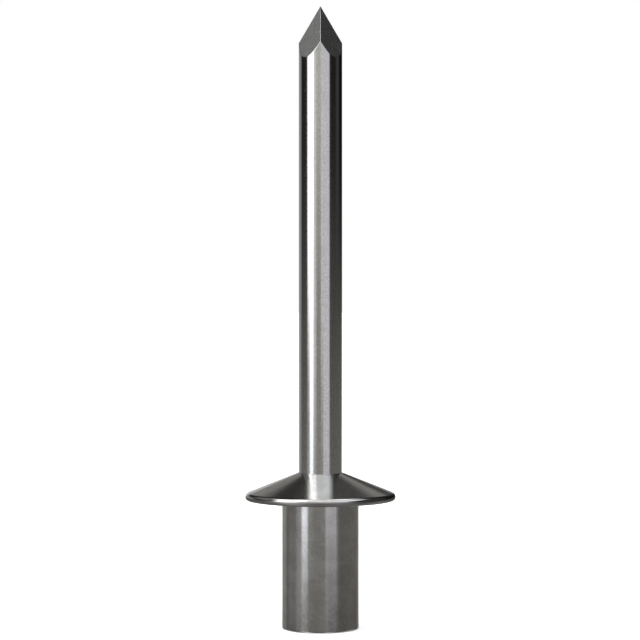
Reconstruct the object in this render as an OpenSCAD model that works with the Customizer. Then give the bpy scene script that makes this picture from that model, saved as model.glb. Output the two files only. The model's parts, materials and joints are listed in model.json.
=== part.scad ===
// Closed-end blind rivet: a sealed steel body, crimped round a headed mandrel with a four-faced point.
// Millimetres, Z up along the rivet's axis. The rivet stands on the closed end of its body,
// with the origin at the centre of that flat end. An edge of the point faces along each of X and Y.

/* [Barrel] */
// Outside diameter of the barrel
barrel_d = 4.8; // [4.4:0.1:6]
// Length of the barrel, from the closed end to the underside of the flange
barrel_l = 8; // [6.5:0.5:16]
// Thickness of the closed end under the mandrel's head
end_t = 1.1; // [0.7:0.1:2]
// Radius of the rounded edge round the closed end
end_round = 0.1; // [0.05:0.01:0.3]

/* [Flange] */
// Diameter of the flange over its rim
flange_d = 9.4; // [8:0.1:12]
// Height of the flange, from its underside to the mouth of the bore
flange_h = 1.7; // [1.2:0.05:2.4]
// Radius of the rounded rim above its widest line
rim_round = 0.3; // [0.2:0.01:0.45]
// Radius of the rounded rim below its widest line
rim_foot = 0.2; // [0.1:0.01:0.3]
// Width of the narrow flat lip between the cone of the flange and the mouth of the bore
lip_w = 0.04; // [0.02:0.02:0.4]
// Radius of the fillet between the barrel and the underside of the flange
neck_fillet = 0.15; // [0.05:0.01:0.25]
// Depth of the chamfer at the mouth of the bore
mouth_chamfer = 0.04; // [0.02:0.01:0.08]

/* [Mandrel] */
// Diameter of the mandrel's stem
stem_d = 2.7; // [2.2:0.05:2.9]
// Height of the point above the top of the flange
stem_reach = 29.05; // [20:0.05:40]
// Angle between each face of the point and the axis
point_angle = 22.5; // [15:0.5:35]
// Diameter of the mandrel's head, inside the body
bulb_d = 3.4; // [3.1:0.05:3.7]
// Height of the straight part of the mandrel's head
bulb_h = 1.25; // [0.8:0.05:2]
// Angle between the shoulder of the mandrel's head and the axis
shoulder_angle = 50; // [35:1:60]
// Chamfer round the foot of the mandrel's head
bulb_chamfer = 0.15; // [0.05:0.01:0.3]

/* [Break neck] */
// Diameter left at the neck, where the stem snaps off
neck_d = 1.85; // [1.4:0.05:2.1]
// Angle between the upper flank of the neck and the axis
flank_angle = 40; // [25:1:60]
// Length of the straight root of the neck
neck_root = 0.12; // [0.05:0.01:0.4]

/* [Fits] */
// Running clearance between the stem and the bore, on the radius
stem_gap = 0.02; // [0.01:0.005:0.05]
// Clearance between the mandrel's head and its chamber, on the radius
bulb_gap = 0.02; // [0.01:0.005:0.05]

/* [Hidden] */
$fn = 96;

// Overlap of cutting shapes past the faces that they cut
past = 0.5;
// The least distance by which two outlines cross where they would only touch
hair = 0.00002;

barrel_r = barrel_d / 2;
flange_r = flange_d / 2;
stem_r = stem_d / 2;
bulb_r = bulb_d / 2;
neck_r = neck_d / 2;

bore_r = stem_r + stem_gap;
chamber_r = bulb_r + bulb_gap;
mouth_r = bore_r + mouth_chamfer;
lip_r = mouth_r + lip_w;

underside_z = barrel_l;
flange_top_z = underside_z + flange_h;
tip_z = flange_top_z + stem_reach;

bulb_z = end_t;
shoulder_z = bulb_z + bulb_h;
neck_low_z = shoulder_z + (bulb_r - neck_r) / tan(shoulder_angle);
neck_high_z = neck_low_z + neck_root;
stem_z = neck_high_z + (stem_r - neck_r) / tan(flank_angle);

// The crimped body follows the mandrel's shoulder up to the bore, with the same gap square to it.
shoulder_gap_z = bulb_gap / sin(shoulder_angle);
crimp_low_z = shoulder_z + shoulder_gap_z - bulb_gap / tan(shoulder_angle);
crimp_high_z = crimp_low_z + (chamber_r - bore_r) / tan(shoulder_angle);

// The rim is widest where its two rounds meet. The cone of the flange touches the upper one,
// a hair inside it so that the two outlines cross.
rim_z = underside_z + rim_foot;
foot_centre = [flange_r - rim_foot, rim_z];
rim_centre = [flange_r - rim_round, rim_z];
cone_run = rim_centre[0] - lip_r;
cone_rise = flange_top_z - rim_centre[1];
cone_angle = atan(cone_rise / cone_run) - asin(rim_round / norm([cone_run, cone_rise]));
rim_touch = rim_centre + (rim_round - hair) * [sin(cone_angle), cos(cone_angle)];

body_colour = [0.62, 0.61, 0.59];
mandrel_colour = [0.72, 0.71, 0.70];

// Section of the barrel: a strip with its foot rounded on the outside
module barrel_section() {
    square([barrel_r - end_round, rim_z]);
    translate([0, end_round])
        square([barrel_r, rim_z - end_round]);
    translate([barrel_r - end_round, end_round])
        circle(end_round);
}

// A half disc above (side = 1) or below (side = -1) its centre
module half_disc(radius, side) {
    intersection() {
        circle(radius);
        translate([-radius, side > 0 ? 0 : -radius])
            square([2 * radius, radius]);
    }
}

// Section of the flange: flat below, conical above, with a round rim that the cone meets tangentially
module flange_section() {
    polygon([
        [0, underside_z],
        [foot_centre[0], underside_z],
        foot_centre,
        rim_centre,
        rim_touch,
        [lip_r, flange_top_z],
        [0, flange_top_z]
    ]);
    translate(rim_centre)
        half_disc(rim_round, 1);
    translate(foot_centre)
        half_disc(rim_foot, -1);
}

// Section of the fillet in the corner under the flange
module fillet_section() {
    difference() {
        translate([barrel_r - past, underside_z - neck_fillet])
            square([past + neck_fillet, neck_fillet + rim_foot]);
        translate([barrel_r + neck_fillet, underside_z - neck_fillet])
            circle(neck_fillet);
    }
}

// Section of the blind bore: the mandrel's head sits in the chamber, and the stem runs up through the bore
module bore_section() {
    polygon([
        [0, bulb_z],
        [chamber_r, bulb_z],
        [chamber_r, crimp_low_z],
        [bore_r, crimp_high_z],
        [bore_r, flange_top_z - mouth_chamfer],
        [mouth_r, flange_top_z],
        [mouth_r, flange_top_z + past],
        [0, flange_top_z + past]
    ]);
}

module rivet_body() {
    color(body_colour)
        rotate_extrude()
            difference() {
                union() {
                    barrel_section();
                    flange_section();
                    fillet_section();
                }
                bore_section();
            }
}

// Section of the mandrel: head, shoulder, break neck and stem, still square at the top and a little long
module mandrel_section() {
    polygon([
        [0, bulb_z],
        [bulb_r - bulb_chamfer, bulb_z],
        [bulb_r, bulb_z + bulb_chamfer],
        [bulb_r, shoulder_z],
        [neck_r, neck_low_z],
        [neck_r, neck_high_z],
        [stem_r, stem_z],
        [stem_r, tip_z + past],
        [0, tip_z + past]
    ]);
}

// A long wedge that comes to its edge at the tip, wide enough to spare everything below the point
module point_wedge() {
    half_w = bulb_r + past;
    rotate([90, 0, 0])
        linear_extrude(2 * half_w, center = true)
            polygon([
                [0, tip_z],
                [half_w, tip_z - half_w / tan(point_angle)],
                [half_w, 0],
                [-half_w, 0],
                [-half_w, tip_z - half_w / tan(point_angle)]
            ]);
}

module mandrel() {
    color(mandrel_colour)
        intersection() {
            rotate_extrude()
                mandrel_section();
            intersection_for (turn = [45, 135])
                rotate(turn)
                    point_wedge();
        }
}

rivet_body();
mandrel();
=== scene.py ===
import json
import math

import bpy
import numpy as np
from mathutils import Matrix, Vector


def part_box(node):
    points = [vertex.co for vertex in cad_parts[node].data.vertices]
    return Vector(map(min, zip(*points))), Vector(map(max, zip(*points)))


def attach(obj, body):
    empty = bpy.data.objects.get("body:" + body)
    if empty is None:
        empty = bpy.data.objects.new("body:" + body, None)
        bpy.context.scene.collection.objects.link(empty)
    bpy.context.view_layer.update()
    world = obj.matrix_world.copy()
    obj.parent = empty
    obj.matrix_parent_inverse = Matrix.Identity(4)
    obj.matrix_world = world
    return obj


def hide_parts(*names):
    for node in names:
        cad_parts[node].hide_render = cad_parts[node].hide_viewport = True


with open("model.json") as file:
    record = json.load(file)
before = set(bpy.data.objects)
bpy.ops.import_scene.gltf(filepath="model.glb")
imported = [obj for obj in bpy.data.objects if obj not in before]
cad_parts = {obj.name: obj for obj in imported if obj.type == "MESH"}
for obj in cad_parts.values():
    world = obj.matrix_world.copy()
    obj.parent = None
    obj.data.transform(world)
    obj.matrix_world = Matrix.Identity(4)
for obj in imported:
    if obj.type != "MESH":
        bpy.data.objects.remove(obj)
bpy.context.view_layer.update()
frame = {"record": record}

# Closed-end blind rivet: a headed and drawn body crimped round a bright mandrel with a four-faced point.
# Metres, +Z up. It stands at the origin on its closed end, and the camera looks along +Y.
mm = 0.001
mounts = {mount["name"]: mount for mount in frame["record"]["mounts"]}
bodyLow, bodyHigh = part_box("rivet_body")
mandrelLow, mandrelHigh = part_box("mandrel")

# Millimetres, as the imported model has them
shared = {
    "barrelRadius": mounts["shank"]["dims"]["r_mm"],
    "stemRadius": mounts["mandrel_stem"]["dims"]["r_mm"],
    "undersideZ": mounts["flange_underside"]["pos_m"][2] / mm,
    "flangeRadius": round(min(bodyHigh.x, bodyHigh.y, -bodyLow.x, -bodyLow.y) / mm, 3),
    "flangeTopZ": round(bodyHigh.z / mm, 3),
    "headRadius": round(mandrelHigh.x / mm, 3),
    "headZ": round(mandrelLow.z / mm, 3),
    "tipZ": round(mandrelHigh.z / mm, 3),
    "shoulderZ": 2.35,
    "shoulderAngle": math.radians(50),
}
print("frame read: rivet", shared["tipZ"], "mm tall, flange", 2 * shared["flangeRadius"], "mm across")


# Node helpers: what feeds a socket is either a plain value or another socket to link from
def feed(tree, socket, value):
    if isinstance(value, bpy.types.NodeSocket):
        tree.links.new(value, socket)
    else:
        socket.default_value = value


def addNode(tree, kind, inputs=None, **settings):
    node = tree.nodes.new(kind)
    for name, value in settings.items():
        setattr(node, name, value)
    for key, value in (inputs or {}).items():
        feed(tree, node.inputs[key], value)
    return node


def calc(tree, operation, *values, clamp=False):
    node = addNode(tree, "ShaderNodeMath", dict(enumerate(values)), operation=operation, use_clamp=clamp)
    return node.outputs[0]


def ramp(tree, value, low, high, start=0.0, end=1.0):
    inputs = {"Value": value, "From Min": low, "From Max": high, "To Min": start, "To Max": end}
    return addNode(tree, "ShaderNodeMapRange", inputs, interpolation_type="SMOOTHSTEP").outputs[0]


def blend(tree, factor, first, second):
    node = addNode(tree, "ShaderNodeMix", data_type="RGBA")
    colours = [s for s in node.inputs if s.type == "RGBA"]
    for socket, value in zip([node.inputs[0], *colours], [factor, first, second]):
        feed(tree, socket, value)
    return next(s for s in node.outputs if s.type == "RGBA")


def noise(tree, place, scale, detail, roughness=0.5, **others):
    inputs = {"Vector": place, "Scale": scale, "Detail": detail, "Roughness": roughness, **others}
    dimensions = "4D" if "W" in others else "3D"
    return addNode(tree, "ShaderNodeTexNoise", inputs, noise_dimensions=dimensions).outputs["Fac"]


def newGroup(name, inputs, outputs):
    tree = bpy.data.node_groups.new(name, "ShaderNodeTree")
    for label, (kind, value) in inputs.items():
        socket = tree.interface.new_socket(label, in_out="INPUT", socket_type=kind)
        if value is not None:
            socket.default_value = value
    for label, kind in outputs.items():
        tree.interface.new_socket(label, in_out="OUTPUT", socket_type=kind)
    return tree, tree.nodes.new("NodeGroupInput").outputs, tree.nodes.new("NodeGroupOutput").inputs


def useGroup(tree, group, inputs):
    return addNode(tree, "ShaderNodeGroup", inputs, node_tree=group).outputs


# Section outlines: corners are (r, z, radius) in millimetres, and an arc takes the place of each corner.
# A second list holds +1 on outward rounds, -1 in inward ones and 0 on the straights.
shortestRun = 0.001  # a straight shorter than this is left out, and its two arcs share a point


def roundedOutline(corners, arcStep, hold, longest):
    spots = [Vector(c[:2]) for c in corners]
    runs = []
    for before, corner, after, (_, _, radius) in zip(spots, spots[1:], spots[2:], corners[1:]):
        u = (before - corner).normalized()
        v = (after - corner).normalized()
        half = u.angle(v) / 2
        reach = radius / math.tan(half)
        centre = corner + (u + v).normalized() * radius / math.sin(half)
        first = corner + u * reach - centre
        sweep = first.angle_signed(corner + v * reach - centre)
        steps = max(2, math.ceil(abs(sweep) / arcStep))
        turn = [sweep * i / steps for i in range(steps + 1)]
        arc = [centre + Vector((first.x * math.cos(a) + first.y * math.sin(a),
                                first.y * math.cos(a) - first.x * math.sin(a))) for a in turn]
        runs.append((arc, 1.0 if u.x * v.y - u.y * v.x < 0 else -1.0))
    runs = [([spots[0]], 0.0), *runs, ([spots[-1]], 0.0)]
    points, bends = [], []
    for (arc, sign), (following, _) in zip(runs, [*runs[1:], ([], 0.0)]):
        points += arc
        bends += [sign] * len(arc)
        if following:
            length = (following[0] - arc[-1]).length
            if length < shortestRun:
                points.pop()
                bends.pop()
                continue
            near = min(hold, length / 4)
            count = max(1, math.ceil((length - 2 * near) / longest))
            for i in range(count + 1):
                along = near + (length - 2 * near) * i / count
                points.append(arc[-1].lerp(following[0], along / length))
                bends.append(0.0)
    return points, bends


# The body: one turned section. The flange's cone runs tangentially into its rounded rim.
bodyForm = {
    "endRound": 0.10,
    "rimRound": 0.30,
    "rimFoot": 0.20,
    "neckFillet": 0.15,
    "lipWidth": 0.04,
    "mouthChamfer": 0.04,
    "stemGap": 0.02,
    "headGap": 0.02,
    "edgeBreak": 0.008,
    "turns": 256,
    "arcStep": math.radians(6),
    "hold": 0.03,  # from an arc to the first row beside it
    "longest": 0.35,
    "weld": 0.0001,
}


def bodyCorners():
    s, f = shared, bodyForm
    bore = s["stemRadius"] + f["stemGap"]
    chamber = s["headRadius"] + f["headGap"]
    mouth = bore + f["mouthChamfer"]
    lip = mouth + f["lipWidth"]
    run = s["flangeRadius"] - f["rimRound"] - lip
    rise = s["flangeTopZ"] - s["undersideZ"] - f["rimFoot"]
    coneAngle = math.atan2(rise, run) - math.asin(f["rimRound"] / math.hypot(run, rise))
    rimCornerZ = s["flangeTopZ"] - (s["flangeRadius"] - lip) * math.tan(coneAngle)
    gapUp = f["headGap"] * math.tan(s["shoulderAngle"] / 2)
    crimpLow = s["shoulderZ"] + gapUp
    crimpHigh = crimpLow + (chamber - bore) / math.tan(s["shoulderAngle"])
    tiny = f["edgeBreak"]
    return [
        (0, 0, 0),
        (s["barrelRadius"], 0, f["endRound"]),
        (s["barrelRadius"], s["undersideZ"], f["neckFillet"]),
        (s["flangeRadius"], s["undersideZ"], f["rimFoot"]),
        (s["flangeRadius"], rimCornerZ, f["rimRound"]),
        (lip, s["flangeTopZ"], tiny),
        (mouth, s["flangeTopZ"], tiny),
        (bore, s["flangeTopZ"] - f["mouthChamfer"], tiny),
        (bore, crimpHigh, tiny),
        (chamber, crimpLow, tiny),
        (chamber, s["headZ"], tiny),
        (0, s["headZ"], 0),
    ]


# Geometry Nodes: turns a section, kept as a row of points in the XZ plane, into a closed solid of revolution
def turningTree():
    tree = bpy.data.node_groups.new("turnedSection", "GeometryNodeTree")
    labels = {"Section": "Geometry", "Turns": "Int", "Weld": "Float", "Steel": "Material"}
    for label, kind in labels.items():
        tree.interface.new_socket(label, in_out="INPUT", socket_type="NodeSocket" + kind)
    tree.interface.new_socket("Solid", in_out="OUTPUT", socket_type="NodeSocketGeometry")
    given = tree.nodes.new("NodeGroupInput").outputs
    section = given["Section"]
    rows = addNode(tree, "GeometryNodeAttributeDomainSize", {"Geometry": section}).outputs["Point Count"]
    columns = calc(tree, "ADD", given["Turns"], 1.0)
    grid = addNode(tree, "GeometryNodeMeshGrid", {"Vertices X": columns, "Vertices Y": rows}).outputs["Mesh"]
    index = tree.nodes.new("GeometryNodeInputIndex").outputs[0]
    row = calc(tree, "FLOORED_MODULO", index, rows)
    column = calc(tree, "FLOOR", calc(tree, "DIVIDE", index, rows))
    share = calc(tree, "DIVIDE", column, given["Turns"])
    place = tree.nodes.new("GeometryNodeInputPosition").outputs[0]
    onSection = addNode(
        tree, "GeometryNodeSampleIndex", {"Geometry": section, "Index": row}, data_type="FLOAT_VECTOR")
    tree.links.new(place, onSection.inputs["Value"])
    turned = addNode(
        tree, "ShaderNodeVectorRotate",
        {"Vector": onSection.outputs["Value"], "Angle": calc(tree, "MULTIPLY", share, math.tau)},
        rotation_type="Z_AXIS").outputs[0]
    solid = addNode(tree, "GeometryNodeSetPosition", {"Geometry": grid, "Position": turned}).outputs[0]
    named = addNode(tree, "GeometryNodeInputNamedAttribute", {"Name": "bend"}, data_type="FLOAT").outputs[0]
    bend = addNode(tree, "GeometryNodeSampleIndex", {"Geometry": section, "Index": row}, data_type="FLOAT")
    tree.links.new(named, bend.inputs["Value"])
    solid = addNode(
        tree, "GeometryNodeStoreNamedAttribute",
        {"Geometry": solid, "Name": "bend", "Value": bend.outputs["Value"]},
        data_type="FLOAT", domain="POINT").outputs[0]
    for kind, inputs in (
            ("GeometryNodeMergeByDistance", {"Distance": given["Weld"]}),
            ("GeometryNodeSetShadeSmooth", {"Shade Smooth": True}),
            ("GeometryNodeRealizeInstances", {}),
            ("GeometryNodeSetMaterial", {"Material": given["Steel"]})):
        solid = addNode(tree, kind, {"Geometry": solid, **inputs}).outputs[0]
    tree.links.new(solid, tree.nodes.new("NodeGroupOutput").inputs[0])
    return tree


def makeBody(steel):
    f = bodyForm
    points, bends = roundedOutline(bodyCorners(), f["arcStep"], f["hold"], f["longest"])
    section = bpy.data.meshes.new("bodySection")
    section.from_pydata([(p.x * mm, 0, p.y * mm) for p in points], [], [])
    section.attributes.new("bend", "FLOAT", "POINT").data.foreach_set("value", bends)
    body = bpy.data.objects.new("turned_body", section)
    bpy.context.scene.collection.objects.link(body)
    tree = turningTree()
    modifier = body.modifiers.new("turning", "NODES")
    modifier.node_group = tree
    sockets = {item.name: item.identifier for item in tree.interface.items_tree if item.in_out == "INPUT"}
    modifier[sockets["Turns"]] = f["turns"]
    modifier[sockets["Weld"]] = f["weld"] * mm
    modifier[sockets["Steel"]] = steel
    body.data = bpy.data.meshes.new_from_object(body.evaluated_get(bpy.context.evaluated_depsgraph_get()))
    body.modifiers.remove(modifier)
    return outward(body)


def outward(piece):
    mesh = piece.data
    mesh.calc_loop_triangles()
    spots = np.array([v.co for v in mesh.vertices])
    corners = spots[np.array([t.vertices for t in mesh.loop_triangles])]
    volume = np.einsum("ij,ij->i", corners[:, 0], np.cross(corners[:, 1], corners[:, 2])).sum() / 6
    if volume < 0:
        mesh.flip_normals()
    print(piece.name, len(mesh.loop_triangles), "triangles,", round(abs(volume) / mm ** 3, 2), "mm3")
    return piece


# The mandrel: headed foot, break neck and stem, with four flat faces that end in arches on the stem
mandrelForm = {
    "headChamfer": 0.15,
    "neckRadius": 0.925,
    "neckRoot": 0.12,
    "flankAngle": math.radians(40),
    "edgeBreak": 0.02,
    "pointAngle": math.radians(22.5),
    "ridgeRound": 0.012,
    "archRound": 0.012,
    "tipSharp": 0.3,  # the ridges narrow within this radius, down to a share of their round
    "leastRidge": 0.15,
    "arcStep": math.radians(8),
    "hold": 0.03,
    "longest": 0.9,
    "firstColumn": math.radians(0.3),
    "widestColumn": math.radians(1.6),
    "columnGrowth": 1.12,
    "closeRows": (0.01, 0.02, 0.035, 0.055, 0.08, 0.12, 0.18, 0.28),
    "faceRows": 34,
    "faceCrowding": 1.3,
    "finestTip": 0.004,
    "settleRounds": 6,
    "probe": 0.0001,  # the step that slopes are measured with
    "leastSlope": 0.000001,  # this and the next keep divisions from running into zero
    "leastWidth": 0.000000001,
}


def mandrelCorners(topZ):
    s, f = shared, mandrelForm
    neckLow = s["shoulderZ"] + (s["headRadius"] - f["neckRadius"]) / math.tan(s["shoulderAngle"])
    neckHigh = neckLow + f["neckRoot"]
    stemLow = neckHigh + (s["stemRadius"] - f["neckRadius"]) / math.tan(f["flankAngle"])
    tiny = f["edgeBreak"]
    return [
        (0, s["headZ"], 0),
        (s["headRadius"] - f["headChamfer"], s["headZ"], tiny),
        (s["headRadius"], s["headZ"] + f["headChamfer"], tiny),
        (s["headRadius"], s["shoulderZ"], tiny),
        (f["neckRadius"], neckLow, tiny),
        (f["neckRadius"], neckHigh, tiny),
        (s["stemRadius"], stemLow, tiny),
        (s["stemRadius"], topZ, 0),
    ]


# Columns stand closer together towards each of the four ridges, which lie on +X, +Y, -X and -Y
def mandrelColumns():
    f = mandrelForm
    eighth = math.pi / 4
    offsets = [0.0]
    step = f["firstColumn"]
    while offsets[-1] + step < eighth:
        offsets.append(offsets[-1] + step)
        step = min(step * f["columnGrowth"], f["widestColumn"])
    offsets = np.array(offsets) * eighth / (offsets[-1] + step)
    quarter = np.concatenate([offsets, [eighth], (2 * eighth - offsets[1:])[::-1]])
    return np.concatenate([quarter + i * math.pi / 2 for i in range(4)])


def softMax(a, b, width):
    width = np.maximum(width, mandrelForm["leastWidth"])
    overlap = np.clip(width - np.abs(a - b), 0, None) / width
    return np.maximum(a, b) + overlap ** 2 * width / 4


# How far spots stand outside the four faces and outside the stem, and off the line of a ridge
def pointFields(spots):
    f = mandrelForm
    x, y, z = spots.T
    radius = np.hypot(x, y)
    level = (z - shared["tipZ"]) * math.sin(f["pointAngle"])
    across = math.cos(f["pointAngle"]) / math.sqrt(2)
    ridge = f["ridgeRound"] * np.clip(radius / f["tipSharp"], f["leastRidge"], 1)
    firstPair = softMax(level + (x + y) * across, level - (x + y) * across, ridge)
    secondPair = softMax(level + (x - y) * across, level - (x - y) * across, ridge)
    faces = softMax(firstPair, secondPair, ridge)
    return faces, radius - shared["stemRadius"], firstPair - secondPair


# The same for the pointed stem as a whole: below zero inside, zero on its surface
def outsidePoint(spots):
    faces, stem, _ = pointFields(spots)
    return softMax(faces, stem, mandrelForm["archRound"])


def settleOnSurface(spots):
    f = mandrelForm
    for _ in range(f["settleRounds"]):
        steps = np.eye(3) * f["probe"]
        rises = [outsidePoint(spots + step) - outsidePoint(spots - step) for step in steps]
        slope = np.stack(rises, 1) / (2 * f["probe"])
        steepness = np.maximum((slope ** 2).sum(1), f["leastSlope"])
        spots = spots - slope * (outsidePoint(spots) / steepness)[:, None]
    return spots


# Rings of spots: the turned part first, then rows that follow the arches and close in on the tip
def mandrelSpots(angles, archZ, outline):
    s, f = shared, mandrelForm
    count = len(angles)
    ring = np.stack([np.cos(angles), np.sin(angles)], 1)
    lower = [np.column_stack([ring * p.x, np.full(count, p.y)]) for p in outline[1:]]
    upper = [np.column_stack([ring * s["stemRadius"], archZ - d]) for d in (*f["closeRows"][::-1], 0)]
    apex = np.array([0, 0, s["tipZ"]])
    foot = np.column_stack([ring * s["stemRadius"], archZ])
    length = np.linalg.norm(foot - apex, axis=1)[:, None]
    upper += [foot + (apex - foot) * d / length for d in f["closeRows"]]
    left = 1 - f["closeRows"][-1] / length
    tipShare = f["finestTip"] / s["stemRadius"]
    for i in range(1, f["faceRows"] + 1):
        share = (1 - i / f["faceRows"]) ** f["faceCrowding"] * (1 - tipShare) + tipShare
        upper.append(apex + (foot - apex) * left * share)
    upper = settleOnSurface(np.concatenate([*upper, [apex]]))
    return np.concatenate([[[0, 0, s["headZ"]]], *lower, upper])


# Faces between the rings, closed by a fan round the first spot and one round the last
def ringFaces(total, count):
    around = [(a, (a + 1) % count) for a in range(count)]
    last = total - 1 - count
    faces = [(0, 1 + b, 1 + a) for a, b in around]
    for low in range(1, last, count):
        high = low + count
        faces += [(low + a, low + b, high + b, high + a) for a, b in around]
    return faces + [(last + a, last + b, total - 1) for a, b in around]


def makeMandrel(steel):
    s, f = shared, mandrelForm
    angles = mandrelColumns()
    count = len(angles)
    fromFace = np.abs((angles % (math.pi / 2)) - math.pi / 4)
    archZ = s["tipZ"] - s["stemRadius"] * np.cos(fromFace) / math.tan(f["pointAngle"])
    startZ = archZ.min() - 2 * f["closeRows"][-1]
    outline, bends = roundedOutline(mandrelCorners(startZ), f["arcStep"], f["hold"], f["longest"])
    spots = mandrelSpots(angles, archZ, outline)
    mesh = bpy.data.meshes.new("mandrel_wire")
    mesh.from_pydata((spots * mm).tolist(), [], ringFaces(len(spots), count))
    mesh.polygons.foreach_set("use_smooth", [True] * len(mesh.polygons))

    # "bend" marks the edges for wear, and "cutFace" the four faces for their duller finish
    faces, stem, ridgeGap = pointFields(spots)
    inPoint = spots[:, 2] > startZ
    onFace = np.clip(0.5 + (faces - stem) / f["archRound"], 0, 1) * inPoint
    nearArch = np.clip(1 - np.abs(faces - stem) / (2 * f["archRound"]), 0, 1)
    nearRidge = np.clip(1 - np.abs(ridgeGap) / f["ridgeRound"], 0, 1) * onFace
    below = np.concatenate([[0.0], np.repeat(bends[1:], count)])
    bend = np.maximum(nearArch, nearRidge) * inPoint
    bend[:len(below)] = below
    mesh.attributes.new("bend", "FLOAT", "POINT").data.foreach_set("value", bend)
    mesh.attributes.new("cutFace", "FLOAT", "POINT").data.foreach_set("value", onFace)
    mesh.materials.append(steel)
    mandrel = bpy.data.objects.new("pulling_mandrel", mesh)
    bpy.context.scene.collection.objects.link(mandrel)
    return outward(mandrel)


# Effects for the two steels. Every one reads the piece's own Object coordinates, in metres.
effectForm = {
    "ringDrift": 4.0,
    "driftScale": 500.0,
    "markLayers": (dict(lean=0.5, seed=0.0), dict(lean=-0.9, seed=3.7)),
    "leanAxis": (0.6, 1.0, 0.3),
    "markStretch": (1.0, 1.0, 0.16),
    "marksPerSize": 5.0,
    "hairWidth": 0.012,
    "patchStart": 0.52,
    "patchFull": 0.68,
    "specksPerCloud": 7.0,
    "wearAndShadeStart": 0.3,
    "wearAndShadeFull": 0.7,
    "leastWearAndShade": 0.55,
}


def drawnLinesGroup():
    tree, given, out = newGroup(
        "drawnLines",
        {"Place": ("NodeSocketVector", None), "Fineness": ("NodeSocketFloat", 9000.0),
         "Length": ("NodeSocketFloat", 0.006)},
        {"Lines": "NodeSocketFloat"})
    across, along = given["Fineness"], calc(tree, "DIVIDE", 1.0, given["Length"])
    scale = addNode(tree, "ShaderNodeCombineXYZ", {"X": across, "Y": across, "Z": along}).outputs[0]
    stretched = addNode(
        tree, "ShaderNodeVectorMath", {0: given["Place"], 1: scale}, operation="MULTIPLY").outputs[0]
    tree.links.new(noise(tree, stretched, 1.0, detail=3.0, roughness=0.6), out["Lines"])
    return tree


def formingRingsGroup():
    tree, given, out = newGroup(
        "formingRings",
        {"Place": ("NodeSocketVector", None), "Fineness": ("NodeSocketFloat", 12000.0)},
        {"Rings": "NodeSocketFloat"})
    x, y, z = addNode(tree, "ShaderNodeSeparateXYZ", {"Vector": given["Place"]}).outputs
    squares = calc(tree, "ADD", calc(tree, "POWER", x, 2.0), calc(tree, "POWER", y, 2.0))
    radius = calc(tree, "MULTIPLY", calc(tree, "SQRT", squares), given["Fineness"])
    drift = noise(tree, given["Place"], effectForm["driftScale"], detail=1.0)
    moved = calc(tree, "ADD", radius, calc(tree, "MULTIPLY", drift, effectForm["ringDrift"]))
    level = calc(tree, "MULTIPLY", z, given["Fineness"])
    spot = addNode(tree, "ShaderNodeCombineXYZ", {"X": moved, "Y": level}).outputs[0]
    tree.links.new(noise(tree, spot, 1.0, detail=2.0), out["Rings"])
    return tree


# Hairline marks in two leaning layers, each only inside its own patches
def handlingMarksGroup():
    tree, given, out = newGroup(
        "handlingMarks",
        {"Place": ("NodeSocketVector", None), "Size": ("NodeSocketFloat", 0.0012),
         "Amount": ("NodeSocketFloat", 0.5)},
        {"Marks": "NodeSocketFloat"})
    e = effectForm
    across = calc(tree, "DIVIDE", e["marksPerSize"], given["Size"])
    patches = calc(tree, "DIVIDE", 1.0, given["Size"])
    total = None
    for layer in e["markLayers"]:
        turned = addNode(
            tree, "ShaderNodeVectorRotate",
            {"Vector": given["Place"], "Axis": e["leanAxis"], "Angle": layer["lean"]},
            rotation_type="AXIS_ANGLE").outputs[0]
        scaled = addNode(
            tree, "ShaderNodeVectorMath", {0: turned, 1: e["markStretch"]}, operation="MULTIPLY").outputs[0]
        lines = noise(tree, scaled, across, detail=1.0, W=layer["seed"])
        offLine = calc(tree, "ABSOLUTE", calc(tree, "SUBTRACT", lines, 0.5))
        hair = ramp(tree, offLine, 0.0, e["hairWidth"], 1.0, 0.0)
        patch = noise(tree, given["Place"], patches, detail=2.0, W=layer["seed"] + 1.0)
        mark = calc(tree, "MULTIPLY", hair, ramp(tree, patch, e["patchStart"], e["patchFull"]))
        total = mark if total is None else calc(tree, "MAXIMUM", total, mark)
    tree.links.new(calc(tree, "MULTIPLY", total, given["Amount"], clamp=True), out["Marks"])
    return tree


def mottleGroup():
    tree, given, out = newGroup(
        "steelMottle",
        {"Place": ("NodeSocketVector", None), "Size": ("NodeSocketFloat", 0.0008)},
        {"Cloud": "NodeSocketFloat", "Speck": "NodeSocketFloat"})
    scale = calc(tree, "DIVIDE", 1.0, given["Size"])
    finer = calc(tree, "MULTIPLY", scale, effectForm["specksPerCloud"])
    cloud = noise(tree, given["Place"], scale, detail=4.0, roughness=0.55, Distortion=0.4)
    speck = noise(tree, given["Place"], finer, detail=2.0, roughness=0.7)
    tree.links.new(cloud, out["Cloud"])
    tree.links.new(speck, out["Speck"])
    return tree


# Reads the "bend" attribute: polish on outward edges, and painted shade that darkens the inward corners,
# such as the fillet under the flange
def edgeWearAndShadeGroup():
    tree, given, out = newGroup(
        "edgeWearAndShade",
        {"Place": ("NodeSocketVector", None), "Break Up": ("NodeSocketFloat", 2500.0)},
        {"Polish": "NodeSocketFloat", "Painted Shade": "NodeSocketFloat"})
    e = effectForm
    bend = addNode(tree, "ShaderNodeAttribute", attribute_name="bend").outputs["Fac"]
    patches = noise(tree, given["Place"], given["Break Up"], detail=2.0)
    uneven = ramp(tree, patches, e["wearAndShadeStart"], e["wearAndShadeFull"], e["leastWearAndShade"], 1.0)
    outwardBend = calc(tree, "MAXIMUM", bend, 0.0)
    inwardBend = calc(tree, "MAXIMUM", calc(tree, "MULTIPLY", bend, -1.0), 0.0)
    tree.links.new(calc(tree, "MULTIPLY", outwardBend, uneven), out["Polish"])
    # Painted shade: the inward corners are darkened, broken up by the same patches as the polish
    tree.links.new(calc(tree, "MULTIPLY", inwardBend, uneven), out["Painted Shade"])
    return tree


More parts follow.
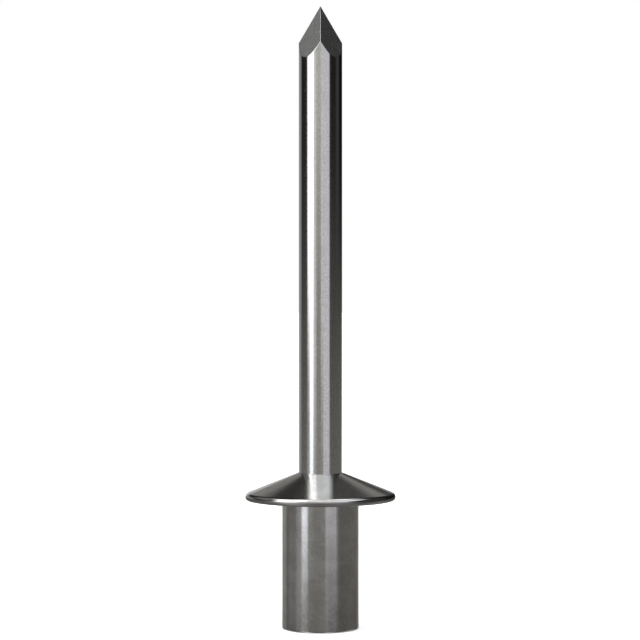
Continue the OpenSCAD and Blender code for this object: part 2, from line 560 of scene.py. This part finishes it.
effects = {
    "lines": drawnLinesGroup(),
    "rings": formingRingsGroup(),
    "marks": handlingMarksGroup(),
    "mottle": mottleGroup(),
    "wearAndShade": edgeWearAndShadeGroup(),
}
print("shared effects built:", ", ".join(group.name for group in effects.values()))


def newSteel(name):
    steel = bpy.data.materials.new(name)
    steel.use_nodes = True
    tree = steel.node_tree
    shader = tree.nodes["Principled BSDF"]
    shader.inputs["Metallic"].default_value = 1.0
    place = addNode(tree, "ShaderNodeTexCoord").outputs["Object"]
    return steel, tree, shader, place


mandrelFinish = {
    "pale": (0.63, 0.62, 0.60, 1),
    "deep": (0.55, 0.54, 0.52, 1),
    "cloudShare": 0.20,
    "lineShare": 0.20,
    "speckShare": 0.60,
    "deepBelow": 0.42,
    "paleAbove": 0.58,
    "roughness": 0.11,
    "lineRoughness": 0.05,
    "faceRoughness": 0.20,
    "markRoughness": 0.12,
    "polishRoughness": -0.05,
    "lineFineness": 9000.0,
    "lineLength": 0.006,
    "lineDepth": 0.0000006,
    "markHeight": -0.4,
    "markSize": 0.0016,
    "markAmount": 0.7,
    "cloudSize": 0.0009,
    "wearAndShadeFineness": 2500.0,
}


def mandrelSteel():
    look = mandrelFinish
    steel, tree, shader, place = newSteel("drawn_wire_steel")
    lines = useGroup(
        tree, effects["lines"],
        {"Place": place, "Fineness": look["lineFineness"], "Length": look["lineLength"]})["Lines"]
    mottle = useGroup(tree, effects["mottle"], {"Place": place, "Size": look["cloudSize"]})
    marks = useGroup(
        tree, effects["marks"],
        {"Place": place, "Size": look["markSize"], "Amount": look["markAmount"]})["Marks"]
    wearAndShade = useGroup(tree, effects["wearAndShade"], {"Place": place, "Break Up": look["wearAndShadeFineness"]})
    onFace = addNode(tree, "ShaderNodeAttribute", attribute_name="cutFace").outputs["Fac"]

    tone = calc(tree, "MULTIPLY", mottle["Cloud"], look["cloudShare"])
    tone = calc(tree, "MULTIPLY_ADD", lines, look["lineShare"], tone)
    tone = calc(tree, "MULTIPLY_ADD", mottle["Speck"], look["speckShare"], tone)
    paleness = ramp(tree, tone, look["deepBelow"], look["paleAbove"])
    tree.links.new(blend(tree, paleness, look["deep"], look["pale"]), shader.inputs["Base Color"])

    rough = calc(tree, "MULTIPLY_ADD", lines, look["lineRoughness"], look["roughness"])
    rough = calc(tree, "MULTIPLY_ADD", marks, look["markRoughness"], rough)
    rough = calc(tree, "MULTIPLY_ADD", onFace, look["faceRoughness"] - look["roughness"], rough)
    rough = calc(tree, "MULTIPLY_ADD", wearAndShade["Polish"], look["polishRoughness"], rough)
    tree.links.new(rough, shader.inputs["Roughness"])

    height = calc(tree, "MULTIPLY_ADD", marks, look["markHeight"], lines)
    bump = addNode(
        tree, "ShaderNodeBump", {"Strength": 1.0, "Distance": look["lineDepth"], "Height": height})
    tree.links.new(bump.outputs[0], shader.inputs["Normal"])
    return steel


bodyFinish = {
    "pale": (0.56, 0.55, 0.53, 1),
    "deep": (0.47, 0.455, 0.435, 1),
    "cloudShare": 0.64,
    "speckShare": 0.36,
    "flangeShare": 0.05,
    "deepBelow": 0.38,
    "paleAbove": 0.62,
    # painted shade: the dark grey that the inward corners, such as the fillet under the flange, are darkened
    # towards
    "paintedShade": (0.20, 0.19, 0.18, 1),
    "paintedShadeShare": 0.6,
    "barrelRoughness": 0.105,
    "flangeRoughness": 0.15,
    "rimRoughness": 0.10,
    "lineRoughness": 0.05,
    "markRoughness": 0.03,
    "lineFineness": 7000.0,
    "lineLength": 0.003,
    "lineDepth": 0.0000008,
    "ringFineness": 12000.0,
    "ringDepth": 0.0000007,
    "markSize": 0.0018,
    "markAmount": 0.7,
    "cloudSize": 0.0010,
    "wearAndShadeFineness": 2500.0,
    "flangeStart": -0.05,  # mm from the underside, where the barrel's finish gives way to the flange's
    "flangeFull": 0.02,
    "landTop": 0.275,  # mm above the underside: the matt band under the bright edge of the rim
    "landEdge": 0.02,
    "landRoughness": 0.42,
    "landTone": (0.26, 0.25, 0.238, 1),
}


def bodySteel():
    look = bodyFinish
    steel, tree, shader, place = newSteel("headed_body_steel")
    height = addNode(tree, "ShaderNodeSeparateXYZ", {"Vector": place}).outputs[2]
    lines = useGroup(
        tree, effects["lines"],
        {"Place": place, "Fineness": look["lineFineness"], "Length": look["lineLength"]})["Lines"]
    rings = useGroup(tree, effects["rings"], {"Place": place, "Fineness": look["ringFineness"]})["Rings"]
    mottle = useGroup(tree, effects["mottle"], {"Place": place, "Size": look["cloudSize"]})
    marks = useGroup(
        tree, effects["marks"],
        {"Place": place, "Size": look["markSize"], "Amount": look["markAmount"]})["Marks"]
    wearAndShade = useGroup(tree, effects["wearAndShade"], {"Place": place, "Break Up": look["wearAndShadeFineness"]})
    underside = shared["undersideZ"] * mm
    onFlange = ramp(
        tree, height, underside + look["flangeStart"] * mm, underside + look["flangeFull"] * mm)
    landTop = underside + look["landTop"] * mm
    fade = 2 * look["landEdge"] * mm
    ragged = calc(tree, "MULTIPLY_ADD", mottle["Cloud"], -fade, height)
    land = calc(tree, "MULTIPLY", onFlange, ramp(tree, ragged, landTop - fade, landTop, 1.0, 0.0))

    tone = calc(tree, "MULTIPLY", mottle["Cloud"], look["cloudShare"])
    tone = calc(tree, "MULTIPLY_ADD", mottle["Speck"], look["speckShare"], tone)
    tone = calc(tree, "MULTIPLY_ADD", onFlange, look["flangeShare"], tone)
    colour = blend(tree, ramp(tree, tone, look["deepBelow"], look["paleAbove"]), look["deep"], look["pale"])
    # Painted shade: darkens the inward corners, such as the fillet under the flange
    colour = blend(tree, calc(tree, "MULTIPLY", wearAndShade["Painted Shade"], look["paintedShadeShare"]), colour, look["paintedShade"])
    colour = blend(tree, land, colour, look["landTone"])
    tree.links.new(colour, shader.inputs["Base Color"])

    rough = calc(tree, "MULTIPLY_ADD", onFlange, look["flangeRoughness"] - look["barrelRoughness"],
                 look["barrelRoughness"])
    rough = calc(tree, "MULTIPLY_ADD", mottle["Speck"], look["lineRoughness"], rough)
    rough = calc(tree, "MULTIPLY_ADD", marks, look["markRoughness"], rough)
    rough = calc(tree, "MULTIPLY_ADD", wearAndShade["Polish"], look["rimRoughness"] - look["flangeRoughness"], rough)
    rough = calc(tree, "MULTIPLY_ADD", land, look["landRoughness"] - look["flangeRoughness"], rough)
    tree.links.new(rough, shader.inputs["Roughness"])

    barrelLines = calc(tree, "MULTIPLY", lines, calc(tree, "SUBTRACT", 1.0, onFlange))
    drawn = addNode(
        tree, "ShaderNodeBump", {"Strength": 1.0, "Distance": look["lineDepth"], "Height": barrelLines})
    flangeRings = calc(tree, "MULTIPLY", rings, onFlange)
    turned = addNode(
        tree, "ShaderNodeBump", {"Strength": 1.0, "Distance": look["ringDepth"], "Height": flangeRings,
                                 "Normal": drawn.outputs[0]})
    tree.links.new(turned.outputs[0], shader.inputs["Normal"])
    return steel


body = makeBody(bodySteel())
mandrel = makeMandrel(mandrelSteel())
for piece, node, slot in ((body, "rivet_body", "body_steel"), (mandrel, "mandrel", "mandrel_steel")):
    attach(piece, "root")
    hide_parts(node)
print("pieces made and riding on the frame")


# The studio: soft panels round the rivet, which only its reflections see, over a plain white ground.
# Azimuth is 0 towards the camera and grows to the right; elevation is above the horizon. Degrees.
white, warm, cool, icy = (1, 1, 1), (1.0, 0.985, 0.94), (0.985, 0.98, 1.06), (0.945, 1.0, 1.085)
studio = {
    "surround": (
        (-90, 0.22), (-60, 0.24), (-32, 0.24), (-16, 0.15), (-10.5, 0.085), (-8.2, 0.165), (-6.4, 0.21),
        (-3.6, 0.165), (-1.8, 0.125), (0, 0.068), (3, 0.02), (6, 0.014), (90, 0.03)),
    "surroundTint": (1.0, 0.97, 0.92),
    "panels": [
        dict(name="ceiling", at=0, half=200, low=68, high=120, side=8, end=6, light=1.25, tint=white),
        dict(name="rearHigh", at=175, half=16, low=30, high=50, side=10, end=6, light=0.068, tint=white),
        dict(name="rearCard", at=178.5, half=17, low=17, high=33, side=8, end=8, light=0.32, tint=warm),
        dict(name="rearRight", at=177, half=6, low=1, high=9, side=4, end=4, light=0.60, tint=white),
        dict(name="rearRightLow", at=164, half=21, low=-9, high=-4, side=4, end=3, light=0.28, tint=white),
        dict(name="rearHighRight", at=146, half=22, low=57, high=72, side=10, end=5, light=2.0, tint=white),
        dict(name="rearFlag", at=170, half=9, low=8, high=22, side=6, end=6, light=0.05, tint=warm),
        dict(name="leftSide", at=-152, half=29, low=-9, high=14, side=14, end=8, light=0.36, tint=white),
        dict(name="rearLeft", at=-172, half=12, low=0, high=14, side=8, end=5, light=0.68, tint=white),
        dict(name="leftHigh", at=-115, half=24, low=22, high=62, side=10, end=12, light=0.22, tint=white),
        dict(name="overheadFar", at=32, half=58, low=52, high=76, side=10, end=6, light=1.0, tint=white),
        dict(name="overhead", at=39, half=64, low=44, high=56, side=20, end=5, light=1.9, tint=icy),
        dict(name="keyHigh", at=-71, half=38, low=48, high=77, side=10, end=6, light=3.0, tint=white),
        dict(name="keyMid", at=-53, half=25.5, low=22, high=52, side=13, end=6, light=4.3, tint=icy),
        dict(name="leftLow", at=-82, half=28, low=-8.6, high=-5.9, side=16, end=1.4, light=0.29, tint=white),
        dict(name="leftGlow", at=-66, half=11, low=-9, high=-3.5, side=14, end=2, light=0.40, tint=white),
        dict(name="coolSide", at=50, half=6, low=-7.4, high=-5.3, side=8, end=1.6, light=0.40, tint=cool),
        dict(name="rightHigh", at=100, half=26, low=16, high=48, side=12, end=12, light=0.046, tint=white),
        dict(name="rightGlow", at=103, half=13, low=1.5, high=16, side=8, end=5, light=0.055, tint=white),
        dict(name="rightFlag", at=134, half=16, low=2, high=16, side=8, end=6, light=0.006, tint=white),
        dict(name="frontLow", at=-8, half=30, low=-9.4, high=46, side=12, end=2.5, light=0.31, tint=warm),
        dict(name="frontHigh", at=-8, half=24, low=2.2, high=44, side=8, end=7, light=0.66, tint=warm),
        dict(name="keyGlow", at=-41.5, half=18.5, low=-4.1, high=46, side=14, end=5, light=0.85, tint=white),
        dict(name="key", at=-54.5, half=17.5, low=-0.5, high=30, side=8, end=5, light=2.6, tint=white),
        dict(name="keyFoot", at=-48, half=9.5, low=-6.5, high=1, side=8, end=2.7, light=2.15, tint=icy),
        dict(name="slit", at=9, half=7, low=-2.6, high=40, side=5, end=3, light=0.82, tint=white),
        dict(name="lowKey", at=-50, half=14, low=-75, high=-14, side=18, end=4, light=1.4, tint=white),
        dict(name="lowCool", at=32, half=15, low=-75, high=-16.5, side=14, end=4, light=0.75, tint=cool),
        dict(name="lowRight", at=112, half=17, low=-75, high=-12, side=26, end=4, light=0.8, tint=white),
        dict(name="lowRear", at=180, half=15, low=-75, high=-1.5, side=22, end=6, light=1.05, tint=white),
        dict(name="lowLeft", at=-120, half=13, low=-75, high=-12, side=20, end=4, light=0.5, tint=warm),
        dict(name="coolPanel", at=32, half=17, low=-7.0, high=40, side=5, end=2.4, light=0.79, tint=cool),
    ],
    "ground": 1.0,
    "floorColour": (0.88, 0.88, 0.88, 1),
    "floorRoughness": 0.9,
    "floorHalf": 1.5,
    "floorLight": 4.4,
    "floorLightSpread": math.radians(110),
}


# A panel's edges fade over Side and End degrees, with half of each fade inside the panel
def softPanelGroup():
    number = "NodeSocketFloat"
    labels = ("Azimuth", "Elevation", "At", "Half", "Low", "High", "Side", "End")
    tree, given, out = newGroup("softPanel", {label: (number, 1.0) for label in labels}, {"Mask": number})
    offset = calc(tree, "WRAP", calc(tree, "SUBTRACT", given["Azimuth"], given["At"]), 180.0, -180.0)
    beside = calc(tree, "SUBTRACT", given["Half"], calc(tree, "ABSOLUTE", offset))
    sides = ramp(tree, calc(tree, "DIVIDE", beside, given["Side"]), -0.5, 0.5)
    above = calc(tree, "DIVIDE", calc(tree, "SUBTRACT", given["Elevation"], given["Low"]), given["End"])
    below = calc(tree, "DIVIDE", calc(tree, "SUBTRACT", given["High"], given["Elevation"]), given["End"])
    ends = calc(tree, "MULTIPLY", ramp(tree, above, -0.5, 0.5), ramp(tree, below, -0.5, 0.5))
    tree.links.new(calc(tree, "MULTIPLY", sides, ends), out["Mask"])
    return tree


# Elevation as a share, from 0 straight down to 1 straight up
def skyShare(tree, elevation):
    inputs = {"Value": elevation, "From Min": -90.0, "From Max": 90.0}
    return addNode(tree, "ShaderNodeMapRange", inputs).outputs[0]


def buildStudio():
    world = bpy.data.worlds.new("studio")
    bpy.context.scene.world = world
    world.use_nodes = True
    tree = world.node_tree
    tree.nodes.clear()
    direction = addNode(tree, "ShaderNodeTexCoord").outputs["Generated"]
    x, y, z = addNode(tree, "ShaderNodeSeparateXYZ", {"Vector": direction}).outputs
    azimuth = calc(tree, "DEGREES", calc(tree, "ARCTAN2", x, calc(tree, "MULTIPLY", y, -1.0)))
    elevation = calc(tree, "DEGREES", calc(tree, "ARCSINE", z))
    gradient = addNode(tree, "ShaderNodeValToRGB", {"Fac": skyShare(tree, elevation)})
    stops = gradient.color_ramp.elements
    levels = studio["surround"]
    while len(stops) < len(levels):
        stops.new(0.5)
    for stop, (angle, light) in zip(stops, levels):
        stop.position = (angle + 90) / 180
        stop.color = (*(light * t for t in studio["surroundTint"]), 1)
    picture = gradient.outputs["Color"]
    group = softPanelGroup()
    measures = ("at", "half", "low", "high", "side", "end")
    for panel in studio["panels"]:
        inputs = {key.capitalize(): float(panel[key]) for key in measures}
        mask = useGroup(tree, group, {"Azimuth": azimuth, "Elevation": elevation, **inputs})["Mask"]
        picture = blend(tree, mask, picture, (*(panel["light"] * t for t in panel["tint"]), 1))
    seen = addNode(tree, "ShaderNodeBackground", {"Color": (1, 1, 1, 1), "Strength": studio["ground"]})
    mirrored = addNode(tree, "ShaderNodeBackground", {"Color": picture, "Strength": 1.0})
    fromCamera = addNode(tree, "ShaderNodeLightPath").outputs["Is Camera Ray"]
    both = addNode(tree, "ShaderNodeMixShader", {0: fromCamera, 1: mirrored.outputs[0], 2: seen.outputs[0]})
    addNode(tree, "ShaderNodeOutputWorld", {"Surface": both.outputs[0]})


def buildFloor():
    half = studio["floorHalf"]
    mesh = bpy.data.meshes.new("floor")
    corners = [(-half, -half, 0), (half, -half, 0), (half, half, 0), (-half, half, 0)]
    mesh.from_pydata(corners, [], [(0, 1, 2, 3)])
    floor = bpy.data.objects.new("floor", mesh)
    bpy.context.scene.collection.objects.link(floor)
    paper = bpy.data.materials.new("floor_paper")
    paper.use_nodes = True
    shader = paper.node_tree.nodes["Principled BSDF"]
    shader.inputs["Base Color"].default_value = studio["floorColour"]
    shader.inputs["Roughness"].default_value = studio["floorRoughness"]
    shader.inputs["Specular IOR Level"].default_value = 0.0
    mesh.materials.append(paper)
    floor.visible_glossy = False
    lamp = bpy.data.lights.new("floorLight", "SUN")
    lamp.energy = studio["floorLight"]
    lamp.angle = studio["floorLightSpread"]
    light = bpy.data.objects.new("floorLight", lamp)
    light.visible_glossy = False
    bpy.context.scene.collection.objects.link(light)


# The photograph's view: 640 by 640, a long lens a little above the middle of the rivet
view = {
    "place": (-0.028 * mm, -140 * mm, 21.5 * mm),
    "aim": (-0.028 * mm, 0, 19.23 * mm),
    "lens": 126.4,
    "sensor": 36.0,
    "nearest": 5 * mm,
}


def buildCamera():
    data = bpy.data.cameras.new("camera")
    data.lens = view["lens"]
    data.sensor_width = view["sensor"]
    data.clip_start = view["nearest"]
    camera = bpy.data.objects.new("camera", data)
    camera.location = view["place"]
    toward = Vector(view["aim"]) - Vector(view["place"])
    camera.rotation_mode = "QUATERNION"
    camera.rotation_quaternion = toward.to_track_quat("-Z", "Y")
    bpy.context.scene.collection.objects.link(camera)
    bpy.context.scene.camera = camera


buildStudio()
buildFloor()
buildCamera()
bpy.context.scene.view_settings.view_transform = "Standard"
print("studio, floor and camera in place")
